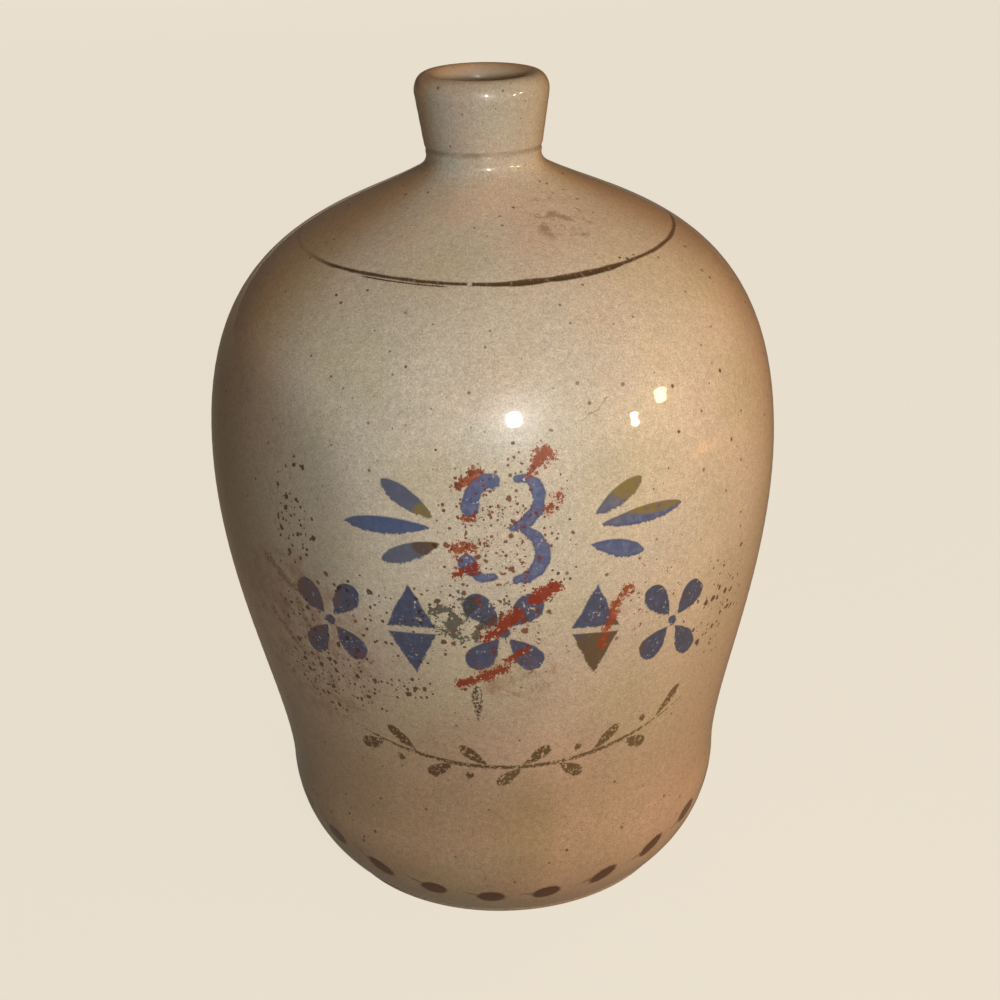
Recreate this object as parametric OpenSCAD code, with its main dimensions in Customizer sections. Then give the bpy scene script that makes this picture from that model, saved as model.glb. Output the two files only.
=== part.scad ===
// Stoneware shoulder jug, luted together from four thrown and pulled pieces of clay.
// The jug stands on z = 0 with its axis on Z. Its painted front faces -Y and its handle +Y.

/* [Whole jug] */
// Height from the base to the top of the lip
jug_h = 390; // [360:1:425]

/* [Lower body] */
// Diameter of the base that the jug stands on
base_d = 166; // [152:1:184]
// Rounding at the edge of the base
base_edge_r = 2; // [1:0.5:5]
// Diameter at the heel, where the foot's curve ends
heel_d = 214; // [204:1:228]
// Height of the heel
heel_h = 51; // [40:1:62]
// Widest diameter of the jug, where its two thrown halves meet
belly_d = 267; // [242:1:294]
// Thickness of the floor
floor_t = 12; // [8:0.5:18]
// Rounding between the floor and the wall inside
floor_fillet_r = 9; // [4:1:14]

/* [Clay wall] */
// Thickness of the thrown wall
wall_t = 9.5; // [7:0.5:12]
// Height of the tongue that keys the two halves together
tongue_h = 4; // [2:0.5:8]

/* [Shoulder] */
// Height from the widest place to the root of the neck
shoulder_rise = 129; // [108:1:150]
// Diameter where the shoulder turns up into the neck
root_d = 71.5; // [66:0.5:84]
// Slope of the shoulder at the root of the neck, in degrees
root_slope = 27.5; // [18:0.5:36]
// Height of the collar that the neck is set on
collar_h = 9.5; // [6:0.5:14]

/* [Neck] */
// Height of the neck above its collar
neck_h = 37; // [31:0.5:48]
// Diameter of the neck where it is narrowest, at the collar
waist_d = 52.5; // [48:0.5:57]
// Widest diameter of the lip
lip_d = 61; // [57.5:0.5:69]
// Diameter of the mouth between the lip's rounded inner sides
mouth_d = 38; // [37:0.5:42]
// Height of the lip's rounded crown
crown_h = 7.5; // [5:0.5:12]
// Height of the flare from the throat to the mouth
flare_h = 5; // [3:0.5:8]
// Diameter of the throat that takes the cork
throat_d = 36; // [30:0.5:36.5]
// Length of the spigot that seats the neck in the shoulder
spigot_h = 8; // [5:0.5:10]
// Thickness of the ledge under the spigot
ledge_t = 3; // [2:0.5:5]
// Depth of the line scored round the neck at its joint
scored_line = 0.8; // [0.4:0.1:1.5]

/* [Handle] */
// Height of the strap's upper root above the neck's joint
grip_root_h = 14; // [11:0.5:17]
// Rise of the strap above its upper root
grip_rise = 10; // [6:0.5:13]
// Reach of the strap's crest from the jug's axis
grip_reach = 92; // [84:1:100]
// Distance of the strap's lower root from the jug's axis
grip_foot = 84; // [78:1:92]
// Depth of the strap's bend below its upper root
grip_drop = 9; // [5:1:14]
// Width of the strap at the middle of the loop
strap_w = 27; // [22:1:32]
// Thickness of the strap at the middle of the loop
strap_t = 12; // [9:0.5:14]
// Depth of the groove that the thumb draws along the strap's back
groove_depth = 2; // [0.5:0.5:3]
// Width of the strap where it is wiped onto the neck
neck_root_w = 40; // [32:1:44]
// Width of the strap where it is pressed onto the shoulder
foot_root_w = 52; // [40:1:60]
// Thickness of the strap at its two roots
root_t = 18; // [13:0.5:20]

/* [Hidden] */
$fn = 96;

// Steps along each curve, and the sides and rings of the pulled strap
arc_steps = 10;
wall_steps = 14;
shoulder_steps = 20;
crown_steps = 14;
strap_sides = 20;
strap_rings = 24;

// How sharply the strap spreads towards its roots, and how narrow the thumb's groove is
spread_power = 3;
groove_power = 8;

// Pulls of the wall's curves, as shares of the rise or width that each curve spans
heel_pull_share = 0.23;
under_belly_share = 0.39;
over_belly_share = 0.76;
root_pull_share = 0.52;
collar_pull_share = 0.5;

// Places within the wall's thickness, as shares of it
tongue_share = 0.5;
spigot_share = 0.5;

// Where the strap's middle line starts inside the neck, as a share of the throat's radius
grip_root_share = 0.5;

// Radii and heights that the sizes give
base_r = base_d / 2;
heel_r = heel_d / 2;
belly_r = belly_d / 2;
root_r = root_d / 2;
waist_r = waist_d / 2;
lip_r = lip_d / 2;
mouth_r = mouth_d / 2;
throat_r = throat_d / 2;
joint_z = jug_h - neck_h;
root_z = joint_z - collar_h;
belly_z = root_z - shoulder_rise;
wall_rise = belly_z - heel_h;
crown_z = jug_h - crown_h;
spigot_z = joint_z - spigot_h;
spigot_r = throat_r + (waist_r - throat_r) * spigot_share;

// The point at t on the cubic curve through p[0] and p[3] that p[1] and p[2] pull
function curve_point(p, t) =
    pow(1 - t, 3) * p[0] + 3 * pow(1 - t, 2) * t * p[1] + 3 * (1 - t) * t * t * p[2] + pow(t, 3) * p[3];

// The direction of the same curve at t
function curve_way(p, t) =
    pow(1 - t, 2) * (p[1] - p[0]) + 2 * (1 - t) * t * (p[2] - p[1]) + t * t * (p[3] - p[2]);

// The curve set back by depth on its left side, as the inner face of a wall is
function curve_points(p, steps, depth = 0) = [
    for (i = [0 : steps])
        let (t = i / steps, way = curve_way(p, t))
        curve_point(p, t) + depth * [-way.y, way.x] / norm(way)
];

// Points of an oval arc round a centre, between two angles
function arc_points(centre, rx, rz, from, to, steps) = [
    for (i = [0 : steps])
        let (a = from + (to - from) * i / steps)
        centre + [rx * cos(a), rz * sin(a)]
];

// A list of points in the opposite order
function reversed(points) = [for (i = [len(points) - 1 : -1 : 0]) points[i]];

// The foot's curve is one arc that rises from the base and stands upright at the heel
foot_step = heel_r - base_r;
foot_arc_r = (heel_h * heel_h + foot_step * foot_step) / (2 * foot_step);
foot_centre = [heel_r - foot_arc_r, heel_h];
foot_outer_a = asin((base_edge_r - heel_h) / foot_arc_r);
foot_outer = arc_points(foot_centre, foot_arc_r, foot_arc_r, foot_outer_a, 0, arc_steps);

// The rounded edge of the base meets the foot's curve
edge_centre = [foot_outer[0].x - base_edge_r, base_edge_r];
base_edge = arc_points(edge_centre, base_edge_r, base_edge_r, -90, 0, arc_steps);

// Inside, the foot's curve runs down to the fillet above the floor
foot_inner_r = foot_arc_r - wall_t;
foot_inner_a = asin((floor_t + floor_fillet_r - heel_h) / foot_inner_r);
foot_inner = arc_points(foot_centre, foot_inner_r, foot_inner_r, foot_inner_a, 0, arc_steps);
fillet_corner = [foot_inner[0].x, floor_t];
fillet_end = fillet_corner - [floor_fillet_r, 0];
floor_fillet = curve_points([fillet_end, fillet_corner, fillet_corner, foot_inner[0]], arc_steps);

// The lower wall swells from the heel to the widest place
lower_curve = [
    [heel_r, heel_h],
    [heel_r, heel_h + heel_pull_share * wall_rise],
    [belly_r, belly_z - under_belly_share * wall_rise],
    [belly_r, belly_z]
];

// The shoulder turns in from the widest place and slopes up to the root of the neck
root_pull = root_pull_share * (belly_r - root_r);
shoulder_curve = [
    [belly_r, belly_z],
    [belly_r, belly_z + over_belly_share * shoulder_rise],
    [root_r + root_pull * cos(root_slope), root_z - root_pull * sin(root_slope)],
    [root_r, root_z]
];

// The collar turns the slope upright under the neck
collar_pull = collar_pull_share * (root_r - waist_r);
collar_curve = [
    [root_r, root_z],
    [root_r - collar_pull * cos(root_slope), root_z + collar_pull * sin(root_slope)],
    [waist_r, joint_z - collar_pull_share * collar_h],
    [waist_r, joint_z - scored_line]
];

lower_outer = curve_points(lower_curve, wall_steps);
lower_inner = curve_points(lower_curve, wall_steps, wall_t);
shoulder_outer = curve_points(shoulder_curve, shoulder_steps);
shoulder_inner = curve_points(shoulder_curve, shoulder_steps, wall_t);
collar_outer = curve_points(collar_curve, arc_steps);

// The two halves key together with a tongue on the inner part of the wall
tongue_r = belly_r - wall_t * tongue_share;
tongue_top = belly_z + tongue_h;
tongue_in_r = belly_r - wall_t;

// The neck widens upwards to a rounded lip, whose crown is half an oval
crown_rx = (lip_r - mouth_r) / 2;
crown_centre = [mouth_r + crown_rx, crown_z];
neck_taper = (lip_r - waist_r) / (neck_h - crown_h);
crown_start_a = -atan(neck_taper * crown_h / crown_rx);
neck_outer = concat(
    [[waist_r - scored_line, joint_z], [waist_r, joint_z + scored_line]],
    arc_points(crown_centre, crown_rx, crown_h, crown_start_a, 90, crown_steps)
);
neck_inner = concat(
    arc_points(crown_centre, crown_rx, crown_h, 90, 180, crown_steps),
    [[throat_r, crown_z - flare_h], [throat_r, spigot_z]]
);

// The height of the shoulder's outside at a distance from the axis
function shoulder_z(r) = lookup(r, shoulder_outer);

// The strap's middle line lies in the plane x = 0, as points of y and z
grip_root = [throat_r * grip_root_share, joint_z + grip_root_h];
grip_curve = [
    grip_root,
    [(grip_reach + waist_r) / 2, grip_root.y + grip_rise],
    [grip_reach, grip_root.y - grip_drop],
    [grip_foot, shoulder_z(grip_foot) - root_t]
];

// The strap's width or thickness at t, which grows from the middle to both roots
function flared(middle, upper, lower, t) =
    middle + (t < 1 / 2 ? upper - middle : lower - middle) * pow(abs(1 - 2 * t), spread_power);

// One ring of the strap at t, an oval square to its middle line with the groove along its back
function strap_ring(t) =
    let (
        centre = curve_point(grip_curve, t),
        way = curve_way(grip_curve, t) / norm(curve_way(grip_curve, t)),
        half_w = flared(strap_w, neck_root_w, foot_root_w, t) / 2,
        half_t = flared(strap_t, root_t, root_t, t) / 2
    )
    [
        for (i = [0 : strap_sides - 1])
            let (
                a = 360 * i / strap_sides,
                out = half_t * sin(a) - groove_depth * pow(max(0, sin(a)), groove_power)
            )
            [half_w * cos(a), centre.x - way.y * out, centre.y + way.x * out]
    ];

// Base, heel and lower wall, up to the widest place and its tongue
module lower_body() {
    color([0.66, 0.52, 0.4])
    rotate_extrude()
    polygon(concat(
        [[0, 0]],
        base_edge,
        foot_outer,
        lower_outer,
        [[tongue_r, belly_z], [tongue_r, tongue_top], [tongue_in_r, tongue_top]],
        reversed(lower_inner),
        reversed(foot_inner),
        reversed(floor_fillet),
        [[0, floor_t]]
    ));
}

// Upper half of the body, with the collar and the socket for the neck
module shoulder() {
    color([0.68, 0.58, 0.48])
    rotate_extrude()
    polygon(concat(
        shoulder_outer,
        collar_outer,
        [[waist_r - scored_line, joint_z], [spigot_r, joint_z], [spigot_r, spigot_z]],
        [[throat_r, spigot_z], [throat_r, spigot_z - ledge_t]],
        [for (p = reversed(shoulder_inner)) if (p.y > tongue_top) p],
        [[tongue_in_r, tongue_top], [tongue_r, tongue_top], [tongue_r, belly_z]]
    ));
}

// Neck with its rounded lip, throat and spigot
module neck() {
    color([0.62, 0.57, 0.48])
    rotate_extrude()
    polygon(concat(neck_outer, neck_inner, [[spigot_r, spigot_z], [spigot_r, joint_z]]));
}

// The outside of the jug from its widest place to its lip, filled to the axis
module upper_form() {
    rotate_extrude()
    polygon(concat([[0, belly_z]], shoulder_outer, collar_outer, neck_outer, [[0, jug_h]]));
}

// Pulled strap handle, wiped onto the neck and pressed onto the shoulder
module handle() {
    rings = [for (i = [0 : strap_rings]) strap_ring(i / strap_rings)];
    points = [for (ring = rings) each ring];
    sides = [
        for (i = [0 : strap_rings - 1], j = [0 : strap_sides - 1])
            let (a = i * strap_sides + j, b = i * strap_sides + (j + 1) % strap_sides)
            each [[a, b, b + strap_sides], [a, b + strap_sides, a + strap_sides]]
    ];
    first_cap = [for (j = [strap_sides - 1 : -1 : 0]) j];
    last_cap = [for (j = [0 : strap_sides - 1]) strap_rings * strap_sides + j];
    color([0.6, 0.5, 0.4])
    difference() {
        polyhedron(points, concat(sides, [first_cap, last_cap]));
        upper_form();
    }
}

lower_body();
shoulder();
neck();
handle();
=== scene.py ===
from math import asin, atan, atan2, cos, degrees, hypot, pi, radians, sin, sqrt

import bpy
from mathutils import Matrix, Vector


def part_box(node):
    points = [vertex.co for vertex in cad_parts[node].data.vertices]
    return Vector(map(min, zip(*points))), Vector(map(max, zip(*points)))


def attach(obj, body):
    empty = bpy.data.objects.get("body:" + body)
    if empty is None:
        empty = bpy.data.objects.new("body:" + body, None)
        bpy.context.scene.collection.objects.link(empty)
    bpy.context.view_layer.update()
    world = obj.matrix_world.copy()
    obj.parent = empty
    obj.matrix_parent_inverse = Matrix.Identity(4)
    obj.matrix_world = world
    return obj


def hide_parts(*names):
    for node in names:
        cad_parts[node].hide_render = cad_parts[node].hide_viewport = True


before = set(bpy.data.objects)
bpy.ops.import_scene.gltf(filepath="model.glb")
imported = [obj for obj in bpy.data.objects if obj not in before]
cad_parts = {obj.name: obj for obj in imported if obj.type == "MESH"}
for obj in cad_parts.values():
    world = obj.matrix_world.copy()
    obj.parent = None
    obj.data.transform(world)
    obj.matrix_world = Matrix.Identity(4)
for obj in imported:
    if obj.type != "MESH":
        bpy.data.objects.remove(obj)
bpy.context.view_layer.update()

mm = 0.001


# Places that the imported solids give

shoulderLow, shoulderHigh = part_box("shoulder")
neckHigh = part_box("neck")[1]
bellyR = shoulderHigh[0]  # widest radius, at the joint of the two halves
bellyZ = shoulderLow[2]
jointZ = shoulderHigh[2]  # where the neck stands on its collar
lipR, lipTop = neckHigh[0], neckHigh[2]
print("places read from the frame: belly", round(bellyR / mm, 1), "mm, lip", round(lipTop / mm, 1), "mm")


# Camera, where the photograph was taken from

cameraPlace = {
    "back": 0.8388,  # metres in front of the jug's axis
    "height": 0.5597,
    "lens": 68,
    "sensor": 36,
    "pitchDown": 24.293,  # degrees
    "turn": 0.156,
    "roll": -1.849,
}


def addObject(name, data):
    made = bpy.data.objects.new(name, data)
    bpy.context.collection.objects.link(made)
    return made


def placeCamera(place):
    turn, pitch, roll = (radians(place[k]) for k in ("turn", "pitchDown", "roll"))
    across = Vector((cos(turn), -sin(turn), 0))
    ahead = Vector((sin(turn), cos(turn), 0))
    top = Vector((0, 0, 1))
    forward = ahead * cos(pitch) - top * sin(pitch)
    up = ahead * sin(pitch) + top * cos(pitch)
    right = across * cos(roll) + up * sin(roll)
    upright = up * cos(roll) - across * sin(roll)
    data = bpy.data.cameras.new("photoCamera")
    data.lens, data.sensor_width = place["lens"], place["sensor"]
    data.sensor_fit = "HORIZONTAL"
    camera = addObject("photoCamera", data)
    turned = Matrix((right, upright, -forward)).transposed().to_4x4()
    camera.matrix_world = Matrix.Translation((0, -place["back"], place["height"])) @ turned
    bpy.context.scene.camera = camera


placeCamera(cameraPlace)
print("camera placed")


# Shader arithmetic: a Field is one number in a node tree, and its operators add Math nodes

class Field:
    def __init__(self, socket):
        self.socket, self.tree = socket, socket.id_data

    def maths(self, operation, *others):
        made = node(self.tree, "ShaderNodeMath", {"operation": operation})
        for socket, value in zip(made.inputs, (self, *others)):
            plug(socket, value)
        return Field(made.outputs[0])

    def __rsub__(self, other): return self.maths("MULTIPLY_ADD", -1, other)
    def __neg__(self): return self.maths("MULTIPLY", -1)

    def step(self, low, high):  # 0 under low, 1 over high, and smooth between
        made = node(self.tree, "ShaderNodeMapRange", {"interpolation_type": "SMOOTHSTEP"},
                    Value=self, From_Min=low, From_Max=high)
        return Field(made.outputs["Result"])


fieldMaths = {
    "__add__": "ADD", "__sub__": "SUBTRACT", "__mul__": "MULTIPLY", "__truediv__": "DIVIDE", "abs": "ABSOLUTE",
    "sin": "SINE", "cos": "COSINE", "arctan": "ARCTAN2", "sqrt": "SQRT", "floor": "FLOOR", "fold": "PINGPONG",
    "most": "MAXIMUM", "least": "MINIMUM", "above": "GREATER_THAN", "below": "LESS_THAN",
}
for method, operation in fieldMaths.items():
    setattr(Field, method, lambda self, *others, operation=operation: self.maths(operation, *others))


def plug(socket, value):
    if isinstance(value, Field):
        value = value.socket
    if isinstance(value, str) and socket.type == "RGBA":
        value = colour(value)
    if isinstance(value, bpy.types.NodeSocket):
        socket.id_data.links.new(value, socket)
    else:
        socket.default_value = value


def plugAll(sockets, **values):
    for label, value in values.items():
        plug(sockets[label.replace("_", " ")], value)


def node(tree, kind, settings=None, **inputs):
    made = tree.nodes.new(kind)
    for key, value in (settings or {}).items():
        setattr(made, key, value)
    plugAll(made.inputs, **inputs)
    return made


def vector(x, y, z):
    return node(x.tree, "ShaderNodeCombineXYZ", X=x, Y=y, Z=z).outputs[0]


def parts(where):  # the three numbers of a vector or a colour
    made = node(where.id_data, "ShaderNodeSeparateXYZ", Vector=where)
    return [Field(made.outputs[i]) for i in range(3)]


def noise(where, scale, detail=2, rough=0.5, size="3D"):
    made = node(where.id_data, "ShaderNodeTexNoise", {"noise_dimensions": size},
                Vector=where, Scale=scale, Detail=detail, Roughness=rough)
    return Field(made.outputs["Fac"])


def cellSpots(where, cells, chosen, wide, edge, size="3D"):  # a spot in each chosen cell, with its own width
    cell = node(where.id_data, "ShaderNodeTexVoronoi", {"voronoi_dimensions": size},
                Vector=where, Scale=cells).outputs
    pick, random, _ = parts(cell["Color"])
    low, high = edge(wide(random))
    return Field(cell["Distance"]).step(low, high) * chosen(pick)


def union(fields):  # the greatest of them
    whole = fields[0]
    for field in fields[1:]:
        whole = whole.most(field)
    return whole


def attribute(tree, name):
    return Field(node(tree, "ShaderNodeAttribute", {"attribute_name": name}).outputs["Fac"])


def mix(share, first, second):
    made = node(share.tree, "ShaderNodeMix", {"data_type": "RGBA"})
    for i, value in ((0, share), (6, first), (7, second)):
        plug(made.inputs[i], value)
    return made.outputs[2]


def colour(code):  # a screen colour such as "C8B49A" as linear light
    levels = [int(code[i:i + 2], 16) / 255 for i in (0, 2, 4)]
    return tuple(c / 12.92 if c <= 0.04045 else ((c + 0.055) / 1.055) ** 2.4 for c in levels) + (1,)


def named(sockets):  # by name, the numbers among them as Fields
    return {s.name: Field(s) if s.type in ("VALUE", "INT") else s for s in sockets if s.name}


# a group's tree, what goes in and what comes out. A socket that is given by its label alone is a number

def newGroup(name, inputs, outputs, kind="ShaderNodeTree"):
    kinds = {"vector": "Vector", "colour": "Color", "value": "Float", "count": "Int", "shape": "Geometry",
             "material": "Material"}
    tree = bpy.data.node_groups.new(name, kind)
    for side, sockets in (("INPUT", inputs), ("OUTPUT", outputs)):
        for label, what, *start in ((each, "value") if isinstance(each, str) else each for each in sockets):
            socket = tree.interface.new_socket(name=label, in_out=side, socket_type="NodeSocket" + kinds[what])
            if start:
                socket.default_value = start[0]
    into, out = tree.nodes.new("NodeGroupInput"), tree.nodes.new("NodeGroupOutput")
    return tree, named(into.outputs), out.inputs


def useGroup(tree, group, **inputs):  # gives its results
    return named(node(tree, "ShaderNodeGroup", {"node_tree": group}, **inputs).outputs)


# Places on the jug: S is the way round from the front in millimetres, measured at the belly,
# Z is the height in millimetres and Way is the angle from the front

def jugPlaces():
    tree, given, out = newGroup("jugPlaces", [("Position", "vector")], ["S", "Z", "Way", ("Flat", "vector")])
    x, y, z = parts(given["Position"])
    way = x.arctan(-y)
    s, height = way * (bellyR / mm), z / mm
    plugAll(out, S=s, Z=height, Way=way, Flat=vector(s, height, 0))
    return tree


# The glaze: salt-fired clay, cool grey over warm tan, browner towards the foot, with fine grain and pinholes, and
# painted shade that browns its flanks

glazeLook = {
    # noise scales, per metre
    "drift": 9,  # between the cool and the warm tone
    "clouds": 26,
    "grain": 1500,
    "peel": 380,
    "hue": 15,  # between a greener and a pinker grey
    # pinholes and iron spots: cells per metre, share of the cells that have one, and least and greatest size
    "holes": [(185, 0.7, (0.05, 0.17)), (78, 0.36, (0.03, 0.075))],
    "hueShare": 0.34,
    "green": "BDB892",
    "pink": "D3B29C",
    # heights in millimetres between which the foot's tone gives way and the lip's comes in
    "foot": (235, 60),
    "footFade": 0.45,  # how much of the foot's tone is missing on the right
    "lip": (338, 366),
    "flankshadeMiddle": 10,  # degrees to the right of the front
    "flankshade": (46, 82),  # degrees from there between which the clay turns browner, as painted shade on the flanks and round the back
    "flankshadeShare": 0.82,
}


def glazeGround(look):
    tones = [(label, "colour") for label in ("Cool", "Warm", "Foot", "Lip", "Flankshade", "Hole")]
    tree, given, out = newGroup("glazeGround", [("Position", "vector"), ("Grain", "value", 1), *tones],
                                [("Color", "colour"), "Height", "Gloss"])
    where = given["Position"]
    across, ahead, up = parts(where)
    x, z = across / mm, up / mm
    way = across.arctan(-ahead) * (180 / pi)
    drift = noise(where, look["drift"], 3, 0.55)
    cloud = noise(where, look["clouds"], 4, 0.6)
    warmth = (x * 0.0022 + drift * 1.5 + cloud * 0.9 - 0.75).step(0, 1)
    ground = mix(warmth, given["Cool"], given["Warm"])
    wander = (drift - 0.5) * 70 + (cloud - 0.5) * 30
    low = (z + wander).step(*look["foot"]) * (1 - x.step(10, 95) * look["footFade"])
    ground = mix(low, ground, given["Foot"])
    ground = mix((z + wander * 0.3).step(*look["lip"]), ground, given["Lip"])
    # painted shade: the clay is browner towards both flanks and round the back, less so near the foot
    flank = ((way - look["flankshadeMiddle"]).abs() + wander * 0.25).step(*look["flankshade"]) * (1 - low * 0.7)
    ground = mix(flank * look["flankshadeShare"], ground, given["Flankshade"])
    hue = noise(where, look["hue"], 2, 0.55)
    for end, shade in ((0.3, "green"), (0.7, "pink")):
        ground = mix(hue.step(0.5, end) * look["hueShare"], ground, look[shade])
    grain = noise(where, look["grain"], 2, 0.6)
    mottle = noise(where, look["peel"], 3, 0.65)
    tone = ((grain - 0.5) * 1.25 + (mottle - 0.5) * 0.6 + (cloud - 0.5) * 0.25) * given["Grain"] + 1
    shade = node(tree, "ShaderNodeHueSaturation", Value=tone, Color=ground).outputs["Color"]

    def holeSize(least, most):
        return lambda random: random * random * random * (most - least) + least + (mottle - 0.5) * most * 0.8

    holes = union([cellSpots(where, cells, lambda pick: pick.below(share), holeSize(*sizes),
                             lambda wide: (wide * 1.35, wide * 0.65)) for cells, share, sizes in look["holes"]])
    shade = mix(holes * (cloud * 1.4 + 0.1).least(1), shade, given["Hole"])
    plugAll(out, Color=shade, Height=mottle * 0.6 + grain * 0.15 - holes * 0.9,
            Gloss=(mottle - 0.5) * 0.16 + holes * 0.25)
    return tree


# One stroke of a loaded brush, as a teardrop or as a pointed leaf.
# Depth is how far inside the stroke a place lies, in millimetres

def brushStroke(name, pointed):
    wanted = ("S", "Z", "Middle S", "Middle Z", "Half Length", "Half Width", "Turn")
    tree, given, out = newGroup(name, wanted, ["Depth"])
    s, z, middleS, middleZ, halfLength, halfWidth, turn = given.values()
    ds, dz = s - middleS, z - middleZ
    cosine, sine = turn.cos(), turn.sin()
    along = (ds * cosine + dz * sine) / halfLength
    across = dz * cosine - ds * sine
    if pointed:
        bulge = (1 - along * along).most(0)
        belly = (bulge + bulge.sqrt()) * (along * 0.1 + 0.5)
    else:  # pointed where it starts and round where it ends
        belly = (along + 1).most(0) * (1 - along).most(0).sqrt() * 0.918
    beyond = (1 - along.abs()) * halfLength
    plugAll(out, Depth=(belly * halfWidth - across.abs()).least(beyond))
    return tree


# A straight length of a wide brush line, round at both ends

def brushLength():
    places = [(label, "vector") for label in ("Flat", "Start", "End")]
    tree, given, out = newGroup("brushLength", [*places, "Start Half", "End Half"], ["Depth"])
    flat, start, end, first, last = given.values()

    def vectors(operation, *values, **inputs):
        made = node(tree, "ShaderNodeVectorMath", {"operation": operation}, **inputs)
        for socket, value in zip(made.inputs, values):
            plug(socket, value)
        return Field(made.outputs["Value"]) if operation in ("DOT_PRODUCT", "DISTANCE") else made.outputs["Vector"]

    offset, reach = vectors("SUBTRACT", flat, start), vectors("SUBTRACT", end, start)
    share = (vectors("DOT_PRODUCT", offset, reach) / vectors("DOT_PRODUCT", reach, reach)).most(0).least(1)
    gap = vectors("DISTANCE", offset, vectors("SCALE", reach, Scale=share))
    plugAll(out, Depth=first + (last - first) * share - gap)
    return tree


glazeGroup = glazeGround(glazeLook)
placesGroup = jugPlaces()
dropGroup = brushStroke("brushDrop", False)
leafGroup = brushStroke("brushLeaf", True)
lengthGroup = brushLength()


def stroke(s, z, middle, half, turn=0, brush=dropGroup):
    return useGroup(s.tree, brush, S=s, Z=z, Middle_S=middle[0], Middle_Z=middle[1], Half_Length=half[0],
                    Half_Width=half[1], Turn=turn if isinstance(turn, Field) else radians(turn))["Depth"]


# The painted front, in millimetres round the jug and up it

frontPaint = {
    # leaves: the end near the numeral, the outer end, and half the width
    "leaves": [((-26.9, 233), (-49.4, 247.3), 4.3), ((-28.6, 228.2), (-66.1, 227), 3.9),
        ((-24.6, 221), (-49.7, 211.8), 4.2), ((42.7, 230.2), (64.6, 242.1), 4.1),
        ((45.3, 225), (84.5, 225.8), 3.9), ((40.9, 216.6), (64.6, 209), 4.2)],
    # the numeral's stencilled strokes: points on each stroke's line, with half its width there
    "numeral": [[(-0.8, 248.6, 3.2), (-4.6, 248.6, 3.4), (-7.8, 246.4, 3.4), (-9.8, 242.6, 3.5),
        (-10.7, 237.6, 4)],
        [(-12.6, 212.8, 4), (-10.4, 208, 2.2), (-6.5, 205.5, 2.1), (-1.8, 206, 1.8)],
        [(9.6, 249.3, 1.6), (13.9, 249.1, 2), (17, 246.6, 2.5), (18.4, 242, 2.8), (17.4, 235.4, 2.9),
        (13.4, 231, 2.9), (6.9, 227.9, 1.5)],
        [(12, 227.2, 1.9), (16.4, 223.2, 2.8), (18.9, 218, 3.3), (19, 212.6, 3.4), (16.6, 208, 3.2),
        (12.6, 205.2, 2.8), (7.8, 204.2, 1.9)]],
    # what is left of rusty overpaint: start, end and half width of each smear
    "rust": [((19.5, 256.4), (22.8, 258.6), 4.8), ((-15, 245.6), (-7.5, 252.6), 3.4), ((46, 166), (52, 184), 3),
        ((-17.2, 219), (-11.3, 220.4), 4), ((14, 250), (17.5, 254.5), 2.6), ((24.6, 240.2), (26.4, 240.6), 2.4),
        ((-13.5, 232.6), (-9.5, 232.4), 2.2), ((21.5, 235), (26.5, 237.4), 2.2), ((53, 186), (58, 192), 3.4)],
    "deepRust": [((15.5, 194), (23.5, 199), 4.8), ((1, 182), (7.5, 187), 4.8), ((-6, 175.5), (-2, 178), 3.6),
        ((-19, 150), (2, 159.2), 3.4), ((3, 163.6), (12, 168.4), 2.6), ((-16.5, 207.6), (-9, 211), 3.2)],
    "streaks": [((-116, 196), (-100, 186), 2.6), ((-99, 180), (-95, 168), 2.4), ((-120, 166), (-106, 152), 2.4),
        ((-112, 178), (-104, 172), 2)],
    # oval patches where a kind of mark lies: middle, reach to both sides and up and down, and how thickly
    "olive": [((64, 241.5), (21, 10.5), 1), ((73.5, 230), (21, 6.6), 1), ((-28.5, 235), (9, 6), 0.7),
        ((48, 160), (26, 20), 1), ((-24, 222.5), (8, 5), 0.7)],
    "hazy": [((-38, 241), (26, 12), 1), ((-37, 215), (26, 12), 1), ((50, 234), (26, 12), 1)],
    "tip": [((-29, 220), (9, 6), 1)],
    "teal": [((-14, 184), (27, 19), 1)],
    "worn": [((2, 226), (30, 44), 1), ((4, 172), (34, 34), 1), ((72, 182), (30, 30), 0.8)],
    "speckled": [((-88, 141), (40, 23), 1.05), ((-55, 146), (34, 11), 0.8), ((-97, 219), (15, 27), 0.85),
        ((-94, 244), (7, 9), 0.7), ((-101, 176), (16, 18), 0.6), ((-30, 183), (18, 26), 0.6),
        ((118, 162), (28, 38), 0.42), ((4, 218), (36, 52), 0.66), ((-64, 178), (30, 32), 0.4)],
    # painted shade: a darker patch on the left of the belly
    "leftShade": [((-128, 222), (84, 78), 1)],
    "dusty": [((-104, 158), (56, 56), 1), ((6, 154), (26, 14), 1)],
    "drip": ((-11.5, 139), (10.5, 2.5)),
    # the row: its line's middle, height, fall to the right and sag to both sides, and its marks' number and pitch
    "rowLine": (2, 178, 0.044, 0.00096), "rowCount": 5, "rowPitch": 41, "rowPetal": (10, 6.2), "rowReach": 14.5,
    "rowEye": 2.6, "rowLozenge": (12, 23),
    "rowSlit": 1.6,  # half the gap across a lozenge
    # the garland: its middle, half its width, how much its ends rise, its leaves and berries
    "sprigMiddle": (10, 101), "sprigHalf": 92, "sprigRise": 17, "sprigLeaf": (8.4, 3.2), "sprigTurn": 36,
    "sprigLeaves": 5, "sprigBerry": (-6.4, 2),
}


def disc(s, z, middle, radius):
    ds, dz = s - middle[0], z - middle[1]
    return radius - (ds * ds + dz * dz).sqrt()


def lengthsDepth(flat, lengths):  # straight lengths: start, end, and half the width at both
    return union([useGroup(flat.id_data, lengthGroup, Flat=flat, Start=(*start, 0), End=(*end, 0),
                           Start_Half=first, End_Half=last)["Depth"] for start, end, first, last in lengths])


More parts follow.
